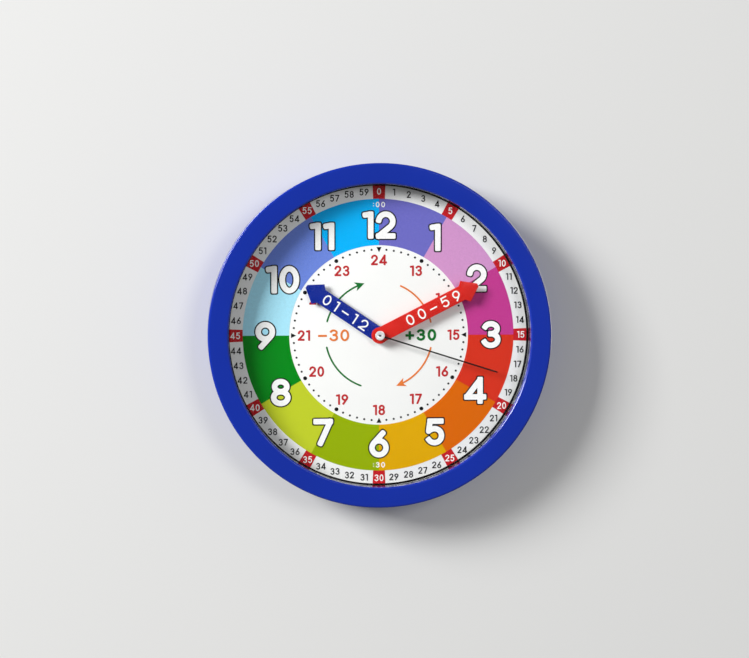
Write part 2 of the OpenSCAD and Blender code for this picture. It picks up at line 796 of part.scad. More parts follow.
module coil_core() {
  color([0.62, 0.63, 0.65]) in_movement()
    box(coil_x - core_w / 2, coil_x + core_w / 2, coil_y - core_end_y, coil_y + core_end_y,
        core_z, core_z + stator_t);
}

// Along the coil, with the coil's middle at the origin and its axis along y
module along_coil() {
  in_movement([coil_x, coil_y]) translate([0, 0, coil_z]) rotate([-90, 0, 0]) children();
}

tube_r = 1.6;

module coil_bobbin() {
  slot_w = core_w + 2 * run_gap;
  slot_t = stator_t + 2 * run_gap;
  color([0.90, 0.90, 0.85]) along_coil() difference() {
    union() {
      translate([0, 0, -coil_half_l]) cylinder(r = tube_r, h = 2 * coil_half_l);
      for (z = [-coil_half_l, coil_half_l - coil_flange_t]) translate([0, 0, z])
        cylinder(r = coil_flange_r, h = coil_flange_t);
    }
    cube([slot_w, slot_t, 3 * coil_half_l], center = true);
  }
}

module coil_winding() {
  color([0.72, 0.38, 0.18]) along_coil() translate([0, 0, -coil_l / 2 + run_gap])
    tube(coil_r, tube_r + run_gap, coil_l - 2 * run_gap);
}

// Circuit

module circuit_board() {
  color([0.10, 0.35, 0.18]) in_movement()
    box(board_x0, board_x0 + board_w, board_y1 - board_h, board_y1, board_z, board_z + board_t);
}

module quartz_crystal() {
  can_r = 1;
  can_l = 6;
  color([0.80, 0.80, 0.82]) in_movement()
    translate([board_x0 + crystal_at[0], board_y1 + crystal_at[1], board_z - can_r]) rotate([0, 90, 0])
      cylinder(r = can_r, h = can_l);
}

module control_chip() {
  blob_r = 2.4;
  blob_h = 1.2;
  // The blob is the cap of a ball, whose radius follows from the cap's width and height
  ball_r = (blob_r * blob_r + blob_h * blob_h) / (2 * blob_h);
  color([0.05, 0.05, 0.05]) in_movement()
    translate([board_x0 + chip_at[0], board_y1 + chip_at[1], board_z]) intersection() {
      translate([0, 0, ball_r - blob_h]) sphere(r = ball_r);
      translate([0, 0, -blob_h]) cylinder(r = 2 * blob_r, h = blob_h);
    }
}

// Battery and its contacts

module contact(side) {
  pad_r = 3;
  plate_h = 10;
  plate_z0 = battery_z - plate_h / 2;
  pad_l = chamber_x1 - contact_t - battery_l / 2 - contact_spare;
  in_movement() mirror([side < 0 ? 1 : 0, 0, 0]) union() {
    box(chamber_x1 - contact_t, chamber_x1, battery_y - plate_h / 2, battery_y + plate_h / 2,
        plate_z0, plate_z0 + plate_h);
    translate([chamber_x1 - contact_t - pad_l, battery_y, battery_z]) rotate([0, 90, 0])
      cylinder(r = pad_r, h = pad_l + contact_t / 2);
  }
}

module contact_plus() {
  color([0.80, 0.80, 0.82]) contact(1);
}

module contact_minus() {
  color([0.80, 0.80, 0.82]) contact(-1);
}

module battery() {
  nub_r = 2.75;
  nub_l = 1;
  color([0.15, 0.16, 0.18]) in_movement() translate([-battery_l / 2, battery_y, battery_z])
    rotate([0, 90, 0]) union() {
      cylinder(r = battery_d / 2, h = battery_l - nub_l);
      cylinder(r = nub_r, h = battery_l);
    }
}

// Hands

// An arrow along +x with a round tail at the origin
module arrow(length) {
  neck = length - head_l;
  half = [[0, hand_w / 2], [neck, hand_w / 2], [neck + shoulder_l, head_w / 2], [length, tip_w / 2]];
  polygon(concat([for (p = half) [p[0], -p[1]]], [for (i = [3:-1:0]) half[i]]));
  circle(r = tail_r);
}

module hand(length, bore) {
  linear_extrude(hand_t) difference() {
    arrow(length);
    circle(r = bore);
  }
}

module on_axis(z, angle) {
  stand_up() translate([0, 0, z]) rotate(90 - angle) children();
}

module hour_hand() {
  color([0.06, 0.16, 0.59]) on_axis(hour_hand_z0, hour_angle) hand(hour_len, hour_pipe_r + push_gap);
}

module minute_hand() {
  color([0.86, 0.14, 0.10]) on_axis(minute_hand_z0, minute_angle)
    hand(minute_len, minute_pipe_r + push_gap);
}

module second_hand() {
  color([0.03, 0.03, 0.03]) on_axis(second_hand_z0, second_angle) linear_extrude(second_t)
    difference() {
      union() {
        circle(r = second_eye_r);
        translate([0, -second_w / 2]) square([second_len, second_w]);
      }
      circle(r = second_arbor_r + push_gap);
    }
}

module second_hub() {
  color([0.85, 0.85, 0.86]) on_axis(cap_z0, second_angle) difference() {
    cylinder(r = cap_r, h = cap_h);
    translate([0, 0, cap_h - dimple_d]) cylinder(r = dimple_r, h = cap_h);
    translate([0, 0, -over]) cylinder(r = second_arbor_r + push_gap, h = over + cap_socket);
  }
}

case_ring();
lens();
spacer_ring();
dial();
back_plate();
case_screws();
hanger_bracket();
hanger_screws();
movement_case();
movement_cover();
rubber_gasket();
bush_washer();
bush_nut();
hour_wheel();
minute_pipe();
centre_wheel();
clutch_spring();
motion_wheel();
set_knob();
third_wheel();
second_wheel();
intermediate_wheel();
rotor_pinion();
rotor_magnet();
stator();
coil_core();
coil_bobbin();
coil_winding();
circuit_board();
quartz_crystal();
control_chip();
contact_plus();
contact_minus();
battery();
hour_hand();
minute_hand();
second_hand();
second_hub();
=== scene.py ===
import bmesh
import bpy
import numpy as np
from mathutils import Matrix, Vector


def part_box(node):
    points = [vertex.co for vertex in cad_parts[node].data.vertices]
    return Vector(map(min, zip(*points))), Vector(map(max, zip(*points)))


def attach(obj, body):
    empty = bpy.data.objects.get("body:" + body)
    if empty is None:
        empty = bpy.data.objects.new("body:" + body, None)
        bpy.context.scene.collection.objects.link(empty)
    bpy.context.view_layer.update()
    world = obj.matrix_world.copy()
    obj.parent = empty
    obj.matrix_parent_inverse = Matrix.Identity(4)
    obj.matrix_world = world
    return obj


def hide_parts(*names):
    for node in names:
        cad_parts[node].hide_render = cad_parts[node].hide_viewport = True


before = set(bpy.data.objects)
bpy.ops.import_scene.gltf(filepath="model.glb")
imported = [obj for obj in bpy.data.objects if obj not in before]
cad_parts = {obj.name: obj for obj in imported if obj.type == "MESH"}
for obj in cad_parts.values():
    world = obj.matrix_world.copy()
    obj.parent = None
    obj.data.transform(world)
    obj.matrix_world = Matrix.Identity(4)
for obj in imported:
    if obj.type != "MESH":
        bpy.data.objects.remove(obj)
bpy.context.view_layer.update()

# The case: bezel and rim in one glossy royal blue moulding, open at the rear. Its face falls a little
# towards a bevel and a deep lip, more polished than the face, which lead down to the window.
# It drops over the back plate from the front and takes six screws in its bosses.
mm = 0.001
crease = np.radians(32)


def corners(node):
    """Every corner of a node's mesh, a row each."""
    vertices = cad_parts[node].data.vertices
    place = np.empty(3 * len(vertices))
    vertices.foreach_get("co", place)
    return place.reshape(-1, 3)


def span(node):
    """Least and greatest radius of a node about the hand axis,
    then its rear and front distance from the wall."""
    place = corners(node)
    radius = np.hypot(place[:, 0], place[:, 2])
    return radius.min(), radius.max(), -place[:, 1].max(), -place[:, 1].min()


def bend(across, along, radius, start, end, steps):
    """Points on an arc about (across, along), evenly from one angle to the other, in degrees."""
    turn = np.radians(np.linspace(start, end, steps + 1))
    return np.stack([across + radius * np.cos(turn), along + radius * np.sin(turn)], axis=1)


def net(rows, columns, round_rows=True):
    """Four-cornered faces over a grid of points. The last column joins the first, and the last row the first
    where the rows go round."""
    whole_rows = rows if round_rows else rows - 1
    i, j = np.meshgrid(np.arange(whole_rows), np.arange(columns), indexing="ij")
    below, beside = (i + 1) % rows, (j + 1) % columns
    around = [i * columns + j, below * columns + j, below * columns + beside, i * columns + beside]
    return np.stack(around, axis=-1).reshape(-1, 4)


def lathe(profile, steps=288):
    """A closed profile of radius and depth carried round an axis:
    (r, d) at angle a lies at (r cos a, r sin a, d)."""
    turn = np.linspace(0, 2 * np.pi, steps, endpoint=False)[:, None]
    r, d = np.asarray(profile).T
    points = np.stack([np.cos(turn) * r, np.sin(turn) * r, np.broadcast_to(d, (steps, len(d)))], axis=-1)
    return points.reshape(-1, 3), net(steps, len(r))


def gather(*shapes):
    """Several shapes as one: their points in a row, and their faces counted on from the points before."""
    starts = np.cumsum([0] + [len(points) for points, _ in shapes])
    return (np.concatenate([points for points, _ in shapes]),
            np.concatenate([faces + start for (_, faces), start in zip(shapes, starts)]))


def linear(red, green, blue):
    """A colour as written on a screen, from 0 to 255, as the light that it stands for: its share over 12.92
    near black, and above that ((share + 0.055) / 1.055) to the power 2.4."""
    share = np.array([red, green, blue]) / 255
    return (*np.where(share <= 0.04045, share / 12.92, ((share + 0.055) / 1.055) ** 2.4), 1.0)


def stand(mesh, material, body, stands_for):
    """An object of a mesh: smooth but for edges over the crease angle, in its material, on its body."""
    mesh.shade_smooth()
    mesh.set_sharp_from_angle(angle=crease)
    mesh.materials.clear()
    mesh.materials.append(material)
    made = bpy.data.objects.new(mesh.name, mesh)
    bpy.context.scene.collection.objects.link(made)
    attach(made, body)
    if stands_for:
        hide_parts(*stands_for)
    return made


def piece(name, shape, material, body, stands_for=(), tints=None):
    """A mesh from points given to the right, up and out from the wall, which lie at (right, minus out, up).
    Tints are the colours that the points of a print carry: its marks stay apart, and elsewhere seams
    are merged."""
    points, faces = shape
    mesh = bpy.data.meshes.new(name)
    placed = np.stack([points[:, 0], -points[:, 2], points[:, 1]], axis=1)
    mesh.from_pydata(placed.tolist(), [], faces.tolist())
    if tints is not None:
        layer = mesh.attributes.new("ink", "FLOAT_COLOR", "POINT")
        layer.data.foreach_set("color", tints.astype(np.float32).ravel())
    work = bmesh.new()
    work.from_mesh(mesh)
    if tints is None:
        seam = 0.0005 * mm
        bmesh.ops.remove_doubles(work, verts=work.verts, dist=seam)
    bmesh.ops.recalc_face_normals(work, faces=work.faces)
    work.to_mesh(mesh)
    work.free()
    stand(mesh, material, body, stands_for)


def add(tree, kind, operation=None, **inputs):
    """A shader node with its sockets set: a plain value is written into the socket,
    and another node's socket is linked to it."""
    node = tree.nodes.new(kind)
    if operation:
        node.operation = operation
    for socket, value in inputs.items():
        socket = socket.replace("_", " ")
        if isinstance(value, bpy.types.NodeSocket):
            tree.links.new(value, node.inputs[socket])
        else:
            node.inputs[socket].default_value = value
    return node


def finish(name, colour, rough, patch, grain, drift=0.05, depth=0.004, stretch=(1, 1, 1), metal=0.0,
           mirror=0.5):
    """A surface whose colour and gloss drift in soft patches, with a fine grain raised on it.
    Patch and grain are the widths of those in mm, depth the grain's height, stretch draws the grain out."""
    cloud_low, cloud_high, dullest, glossiest, relief = 0.3, 0.7, 1.12, 0.88, 0.6
    material = bpy.data.materials.new(name)
    material.use_nodes = True
    tree = material.node_tree
    shader = tree.nodes["Principled BSDF"]
    shader.inputs["Metallic"].default_value = metal
    shader.inputs["Specular IOR Level"].default_value = mirror
    place = add(tree, "ShaderNodeTexCoord").outputs["Object"]
    cloud = add(tree, "ShaderNodeTexNoise", Vector=place, Scale=1 / (patch * mm), Detail=3.0).outputs["Fac"]
    tone = add(tree, "ShaderNodeValToRGB", Fac=cloud)
    base = np.array(linear(*colour)[:3])
    for stop, where, share in zip(tone.color_ramp.elements, (cloud_low, cloud_high), (1 - drift, 1 + drift)):
        stop.position = where
        stop.color = (*np.clip(base * share, 0, 1), 1)
    tree.links.new(tone.outputs["Color"], shader.inputs["Base Color"])
    gloss = add(tree, "ShaderNodeMapRange", Value=cloud, From_Min=cloud_low, From_Max=cloud_high,
                To_Min=glossiest * rough, To_Max=dullest * rough)
    tree.links.new(gloss.outputs["Result"], shader.inputs["Roughness"])
    drawn = add(tree, "ShaderNodeMapping", Vector=place, Scale=stretch).outputs["Vector"]
    fine = add(tree, "ShaderNodeTexNoise", Vector=drawn, Scale=1 / (grain * mm), Detail=2.0).outputs["Fac"]
    raised = add(tree, "ShaderNodeBump", Height=fine, Strength=relief, Distance=depth * mm)
    tree.links.new(raised.outputs["Normal"], shader.inputs["Normal"])
    return material


sight_r, case_r, wall_z, face_z = span("case_ring")
plate_r = span("back_plate")[1]
lens_r, lens_back, lens_front = span("lens")[1:]
fit_gap, collar_t, collar_depth, flange_t = 0.3 * mm, 2.2 * mm, 4.5 * mm, 4.5 * mm
rim_r = plate_r + fit_gap
rebate_r = lens_r + fit_gap
collar_r = rebate_r + collar_t
collar_z = lens_front - collar_depth
edge_r = 2 * mm
foot_r = 0.8 * mm
flange_back = face_z - flange_t
bevel_w, bevel_h = 1.3 * mm, 0.85 * mm
face_fall = 0.5 * mm
bevel_round = 1.4 * mm
lip_z = face_z - face_fall - bevel_h
bevel_tilt = np.degrees(np.arctan2(bevel_h, bevel_w))
brow = np.tan(np.radians(bevel_tilt / 2)) * bevel_round
lip = np.tan(np.radians((90 - bevel_tilt) / 2)) * bevel_round
royal_blue, face_shine = (4, 41, 155), 0.22
blue_plastic = finish("blue_plastic", royal_blue, 0.16, drift=0.04, patch=60, grain=0.5, depth=0.001)
lip_shine, shine_w = 0.6, 1.6 * mm
blue_tree = blue_plastic.node_tree
from_axis = add(blue_tree, "ShaderNodeVectorMath", "MULTIPLY",
                Vector=add(blue_tree, "ShaderNodeTexCoord").outputs["Object"])
from_axis.inputs[1].default_value = (1, 0, 1)
lip_near = add(blue_tree, "ShaderNodeVectorMath", "LENGTH", Vector=from_axis.outputs["Vector"])
shine = add(blue_tree, "ShaderNodeMapRange", Value=lip_near.outputs["Value"], From_Min=sight_r,
            From_Max=sight_r + shine_w, To_Min=lip_shine, To_Max=face_shine)
blue_tree.links.new(shine.outputs["Result"], blue_tree.nodes["Principled BSDF"].inputs["Specular IOR Level"])
case_profile = np.concatenate([
    [(rim_r, wall_z)],
    bend(case_r - foot_r, wall_z + foot_r, foot_r, -90, 0, 5),
    bend(case_r - edge_r, face_z - edge_r, edge_r, 0, 90, 14),
    bend(sight_r + bevel_w + brow, face_z - face_fall - bevel_round, bevel_round, 90, 90 + bevel_tilt, 5),
    bend(sight_r + bevel_round, lip_z - lip, bevel_round, 90 + bevel_tilt, 180, 8),
    [(sight_r, lens_front), (rebate_r, lens_front), (rebate_r, collar_z), (collar_r, collar_z),
     (collar_r, flange_back), (rim_r, flange_back)],
])
boss_at = (collar_r + rim_r) / 2
boss_r = 3.6 * mm
pilot_r = 1.45 * mm
boss_back = span("back_plate")[3]
boss_turns = np.radians(30 + 60 * np.arange(6))
boss_points, boss_faces = lathe([(pilot_r, boss_back), (boss_r, boss_back),
                                 (boss_r, flange_back), (pilot_r, flange_back)], 32)
bosses = [(boss_points + [boss_at * np.cos(a), boss_at * np.sin(a), 0], boss_faces) for a in boss_turns]
piece("case_ring_moulding", gather(lathe(case_profile, 360), *bosses), blue_plastic, "case",
      ["case_ring"])


# The back plate: a ribbed disc of charcoal plastic that carries the dial in front and the movement behind.
# Its edges are rounded as a mould leaves them, and six pan head screws hold it to the case.
def eased(node, material, radius, body="case"):
    """A node's own shape with its corners rounded off to a radius, as sheet or moulded stock has them."""
    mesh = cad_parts[node].data.copy()
    mesh.name = node + "_eased"
    work = bmesh.new()
    work.from_mesh(mesh)
    seam, flat = 0.001 * mm, np.radians(0.5)
    bmesh.ops.remove_doubles(work, verts=work.verts, dist=seam)
    bmesh.ops.dissolve_limit(work, angle_limit=flat, verts=work.verts, edges=work.edges)
    work.to_mesh(mesh)
    work.free()
    rounding = stand(mesh, material, body, [node]).modifiers.new("rounding", "BEVEL")
    rounding.width = radius
    rounding.segments = 2
    rounding.limit_method = "ANGLE"
    rounding.angle_limit = crease
    rounding.use_clamp_overlap = True
    rounding.harden_normals = True


def dress(material, *names):
    """Gives CAD nodes that keep their own shape a finish."""
    for name in names:
        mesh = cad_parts[name].data
        mesh.materials.clear()
        mesh.materials.append(material)


back_plastic = finish("back_plastic", (44, 46, 52), 0.55, drift=0.08, patch=25, grain=0.3, depth=0.02)
screw_steel = finish("screw_steel", (186, 187, 190), 0.3, drift=0.06, patch=3, grain=0.12, depth=0.006,
                     metal=1.0)
plate_edge = 0.3 * mm
eased("back_plate", back_plastic, plate_edge)
dress(screw_steel, "case_screws", "hanger_screws")

# The hanger: a bracket stamped and bent from zinc plated sheet, with a keyhole for the wall screw.
# Two screws hold its feet to bosses on the back plate.
hanger_steel = finish("hanger_steel", (196, 198, 202), 0.34, drift=0.07, patch=6, grain=0.2, depth=0.008,
                      stretch=(0.12, 1, 1), metal=1.0)
hanger_edge = 0.35 * mm
eased("hanger_bracket", hanger_steel, hanger_edge)

# The movement's housing: a black box with a trough for the cell, closed at the rear by a cover.
# Its threaded bush passes through a rubber gasket, the plate and the dial, where a washer and a nut hold it.
# The cover has the cell's plus and minus signs and an arrow round the setting knob raised on it.
movement_plastic = finish("movement_plastic", (34, 34, 37), 0.48, drift=0.1, patch=9, grain=0.22, depth=0.015)
cover_plastic = finish("cover_plastic", (40, 40, 43), 0.42, drift=0.08, patch=9, grain=0.22, depth=0.012)
gasket_rubber = finish("gasket_rubber", (40, 40, 40), 0.8, drift=0.15, patch=4, grain=0.15, depth=0.02)
bush_brass = finish("bush_brass", (205, 172, 98), 0.28, drift=0.07, patch=3, grain=0.1, metal=1.0)
housing_edge = 0.3 * mm
eased("movement_case", movement_plastic, housing_edge)
eased("movement_cover", cover_plastic, housing_edge)
dress(gasket_rubber, "rubber_gasket")
dress(bush_brass, "bush_washer", "bush_nut")


def strip(left, right, low, high):
    """A thin flat strip between two edge lines, in rings of four corners along it, closed at its ends."""
    rows = len(left)
    heights = [high, high, low, low]
    edges = [left, right, right, left]
    points = np.stack([np.column_stack([e, np.full(rows, h)]) for e, h in zip(edges, heights)], axis=1)
    if np.allclose(left[0], left[-1]) and rows > 4:
        return points[:-1].reshape(-1, 3), net(rows - 1, 4)
    ends = np.array([[3, 2, 1, 0], [4 * rows - 4, 4 * rows - 3, 4 * rows - 2, 4 * rows - 1]])
    return points.reshape(-1, 3), np.concatenate([net(rows, 4, round_rows=False), ends])


def pen(path, width, squareness=2.0):
    """Both edges of a pen line: half its width to either side of the path, square to it.
    Its ends follow a superellipse of that squareness: round at 2, and square with soft corners at 5."""
    half = width / 2
    run = np.gradient(path, axis=0)
    run /= np.linalg.norm(run, axis=1)[:, None]
    breadth = np.full(len(path), half)
    if not np.allclose(path[0], path[-1]):
        swing = np.radians(np.linspace(88, 12, 7))
        past = half * np.sin(swing) ** (2 / squareness)
        narrow = half * np.cos(swing) ** (2 / squareness)
        before, after = path[0] - np.outer(past, run[0]), path[-1] + np.outer(past[::-1], run[-1])
        path = np.concatenate([before, path, after])
        run = np.concatenate([np.repeat(run[:1], len(swing), axis=0), run,
                              np.repeat(run[-1:], len(swing), axis=0)])
        breadth = np.concatenate([narrow, breadth, narrow[::-1]])
    else:
        run[0] = run[-1] = (run[0] + run[-1]) / np.linalg.norm(run[0] + run[-1])
    side = np.stack([-run[:, 1], run[:, 0]], axis=1) * breadth[:, None]
    return path + side, path - side


def clock(radius, hour_turn):
    """The point at a radius and at an angle in degrees clockwise from twelve."""
    turn = np.radians(hour_turn)
    return np.stack([radius * np.sin(turn), radius * np.cos(turn)], axis=-1)


def dart(at, turn, length, width, notch=0.0):
    """Both halves of an arrow head, each a triangle from its barb and the notch behind to the tip,
    which is a 90th as wide. It points in a direction given in degrees clockwise from twelve,
    and at is halfway along it."""
    ahead, aside = clock(1.0, turn), clock(1.0, turn + 90)
    tip, tail = at + length / 2 * ahead, at - length / 2 * ahead
    middle = np.array([tail + notch * ahead, tip])
    taper = 90
    return [(np.array([tail + side * aside, tip + side / taper * aside]), middle)[::1 if side < 0 else -1]
            for side in (-width / 2, width / 2)]


rubbed_plastic = finish("rubbed_plastic", (112, 112, 116), 0.4, drift=0.12, patch=2, grain=0.2, depth=0.01)
mark_w, mark_l, mark_h, mark_sink, mark_step = 0.9 * mm, 3.4 * mm, 0.3 * mm, 0.05 * mm, 0.02 * mm
cover_low, cover_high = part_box("movement_cover")
knob_low, knob_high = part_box("set_knob")
knob_at = np.array([knob_low.x + knob_high.x, knob_low.z + knob_high.z]) / 2
turn_gap, turn_head = 2.2 * mm, 3 * mm
turn_r = (knob_high.x - knob_low.x) / 2 + turn_gap
turn_start, turn_end, turn_ahead, mark_end = 230, 20, 12, 4.0
pole_in, pole_up = 5 * mm, 4.5 * mm
pole_x, pole_y = cover_high.x - pole_in, cover_low.z + pole_up
upright = np.array([[0, -mark_l / 2], [0, mark_l / 2]])
level = np.array([[-mark_l / 2, 0], [mark_l / 2, 0]])
mark_edges = [pen(path, mark_w, mark_end) for path in (
    level + [pole_x, pole_y], upright + [pole_x, pole_y], level + [-pole_x, pole_y],
    knob_at + clock(turn_r, np.linspace(turn_start - 360, turn_end, 40)))]
turn_tip = turn_end + turn_ahead
mark_edges += dart(knob_at + clock(turn_r, turn_tip), turn_tip + 90, turn_head, turn_head)
cover_back = -cover_high.y
mark_tops = cover_back - mark_h - mark_step * np.arange(len(mark_edges))
piece("movement_cover_marks", gather(*[strip(*edges, top, cover_back + mark_sink)
                                       for edges, top in zip(mark_edges, mark_tops)]),
      rubbed_plastic, "case")

# The train: white acetal wheels on thin arbors, a brass minute pipe, and a sprung steel clutch between them.
# The setting knob is pressed onto the motion wheel's stem, which comes out through the cover.
acetal = finish("acetal", (232, 230, 220), 0.42, drift=0.04, patch=4, grain=0.1)
spring_steel = finish("spring_steel", (196, 198, 202), 0.26, drift=0.06, patch=2, grain=0.1, depth=0.003,
                      metal=1.0)
knob_plastic = finish("knob_plastic", (26, 26, 28), 0.45, drift=0.1, patch=3, grain=0.15, depth=0.01)
dress(acetal, "hour_wheel", "centre_wheel", "motion_wheel", "third_wheel", "second_wheel",
      "intermediate_wheel", "rotor_pinion")
dress(bush_brass, "minute_pipe")
dress(spring_steel, "clutch_spring")
knob_edge = 0.15 * mm
eased("set_knob", knob_plastic, knob_edge, body="motion_works")

# The motor and its circuit: a magnet that turns in a soft iron stator, a coil of enamelled wire on a bobbin,
# and a small green board with the crystal and the chip under a drop of resin.
magnet_black = finish("magnet_black", (70, 70, 74), 0.4, drift=0.1, patch=2, grain=0.1, metal=0.6)
soft_iron = finish("soft_iron", (150, 152, 156), 0.36, drift=0.08, patch=3, grain=0.12, depth=0.006,
                   metal=1.0)
bobbin_nylon = finish("bobbin_nylon", (226, 222, 206), 0.5, drift=0.04, patch=3, grain=0.1)
coil_copper = finish("coil_copper", (184, 96, 46), 0.3, drift=0.1, patch=2, grain=0.12, depth=0.02,
                     stretch=(1, 1, 6), metal=1.0)
board_green = finish("board_green", (22, 92, 48), 0.35, drift=0.12, patch=2, grain=0.15, depth=0.006)
resin_black = finish("resin_black", (14, 14, 15), 0.22, drift=0.2, patch=1.5, grain=0.3, depth=0.01)
dress(magnet_black, "rotor_magnet")
dress(soft_iron, "stator", "coil_core")
dress(bobbin_nylon, "coil_bobbin")
dress(coil_copper, "coil_winding")
dress(board_green, "circuit_board")
dress(resin_black, "control_chip")
dress(spring_steel, "quartz_crystal", "contact_plus", "contact_minus")

# The cell: a steel can in a plain printed jacket, with a crimped shoulder at each end and a nub at one.
# It lies across the trough under the gears and lifts out to the rear.
cell_low, cell_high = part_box("battery")
cell_r = (cell_high.z - cell_low.z) / 2
nub_r, nub_l, nub_edge = 2.75 * mm, 1 * mm, 0.3 * mm
jacket_inset = 1.2 * mm
cell_centre = np.array([0, (cell_low.z + cell_high.z) / 2, -(cell_low.y + cell_high.y) / 2])
crimp = 0.7 * mm
can_end = cell_high.x - nub_l
band_at = 34 * mm
band_start = cell_low.x + band_at
step = 0.04 * mm


def lying(profile):
    """A profile of radius and distance along x, turned about the cell's own axis in 96 steps."""
    points, faces = lathe(profile, 96)
    return points[:, [2, 0, 1]] + cell_centre, faces


jacket_grey = finish("jacket_grey", (58, 62, 70), 0.3, patch=8, grain=0.2, depth=0.003)
jacket_band = finish("jacket_band", (206, 208, 210), 0.3, drift=0.04, patch=8, grain=0.2, depth=0.003)
can_steel = finish("can_steel", (198, 198, 196), 0.25, patch=3, grain=0.1, depth=0.003, metal=1.0)
can_profile = np.concatenate([
    [(0, cell_low.x), (cell_r - 2 * crimp, cell_low.x)],
    bend(cell_r - crimp - step, cell_low.x + crimp, crimp, -90, 0, 6),
    bend(cell_r - crimp - step, can_end - crimp, crimp, 0, 90, 6),
    [(nub_r + crimp, can_end), (nub_r, can_end)],
    bend(nub_r - nub_edge, cell_high.x - nub_edge, nub_edge, 0, 90, 4),
    [(0, cell_high.x)],
])
piece("battery_can", lying(can_profile), can_steel, "battery", ["battery"])
jacket_start, jacket_end, jacket_in = cell_low.x + jacket_inset, can_end - jacket_inset, cell_r - 2 * step
piece("battery_jacket", lying([(jacket_in, jacket_start), (cell_r, jacket_start),
                               (cell_r, band_start), (jacket_in, band_start)]),
      jacket_grey, "battery")
piece("battery_band", lying([(jacket_in, band_start), (cell_r, band_start),
                             (cell_r, jacket_end), (jacket_in, jacket_end)]),
      jacket_band, "battery")

# The dial: a white board with satin print, laid on the back plate and held at its edge by the spacer ring.
# Twelve coloured sectors carry the hours, with the day's later hours inside them and the minutes outside.
dial_hole, dial_r, dial_back, dial_front = span("dial")
dial_board = finish("dial_board", (246, 246, 244), 0.55, drift=0.012, patch=30, grain=0.12, mirror=0.05)
dial_edge = 0.15 * mm
piece("dial_board", lathe(np.concatenate([
    [(dial_hole, dial_back), (dial_r, dial_back)],
    bend(dial_r - dial_edge, dial_front - dial_edge, dial_edge, 0, 90, 4),
    [(dial_hole, dial_front)]])), dial_board, "case", ["dial"])


def dial_ink():
    """Satin print: the colour that a point carries, a little uneven as ink on card is,
    with the card's tooth under it."""
    material = finish("dial_ink", (255, 255, 255), 0.5, drift=0.0, patch=5, grain=0.12, depth=0.003,
                      mirror=0.05)
    tree = material.node_tree
    shader = tree.nodes["Principled BSDF"]
    carried = tree.nodes.new("ShaderNodeAttribute")
    carried.attribute_name = "ink"
    place = add(tree, "ShaderNodeTexCoord").outputs["Object"]
    fleck, fleck_low, fleck_high, darkest, palest = 2.2 * mm, 0.3, 0.7, 0.95, 1.03
    mottle = add(tree, "ShaderNodeTexNoise", Vector=place, Scale=1 / fleck, Detail=4.0).outputs["Fac"]
    share = add(tree, "ShaderNodeMapRange", Value=mottle, From_Min=fleck_low, From_Max=fleck_high,
                To_Min=darkest, To_Max=palest)
    toned = add(tree, "ShaderNodeVectorMath", "SCALE", Vector=carried.outputs["Color"],
                Scale=share.outputs["Result"])
    tree.links.new(toned.outputs["Vector"], shader.inputs["Base Color"])
    return material


ink_layer, ink_step, ink_heights = 0.08 * mm, 0.012 * mm, 6


def oval(x, y, rx, ry, start, end):
    """Points on an ellipse about (x, y), evenly from one angle to the other, in degrees:
    one for every 9 degrees, and at least 8."""
    turn = np.radians(np.linspace(start, end, max(8, int(abs(end - start) / 9))))
    return np.stack([x + rx * np.cos(turn), y + ry * np.sin(turn)], axis=1)


def tangent(point, centre, radius):
    """Angle, in degrees, at which a line from a point touches a circle:
    the point's direction plus acos(radius / distance)."""
    away = np.subtract(point, centre)
    return np.degrees(np.arctan2(away[1], away[0]) + np.arccos(radius / np.hypot(*away)))


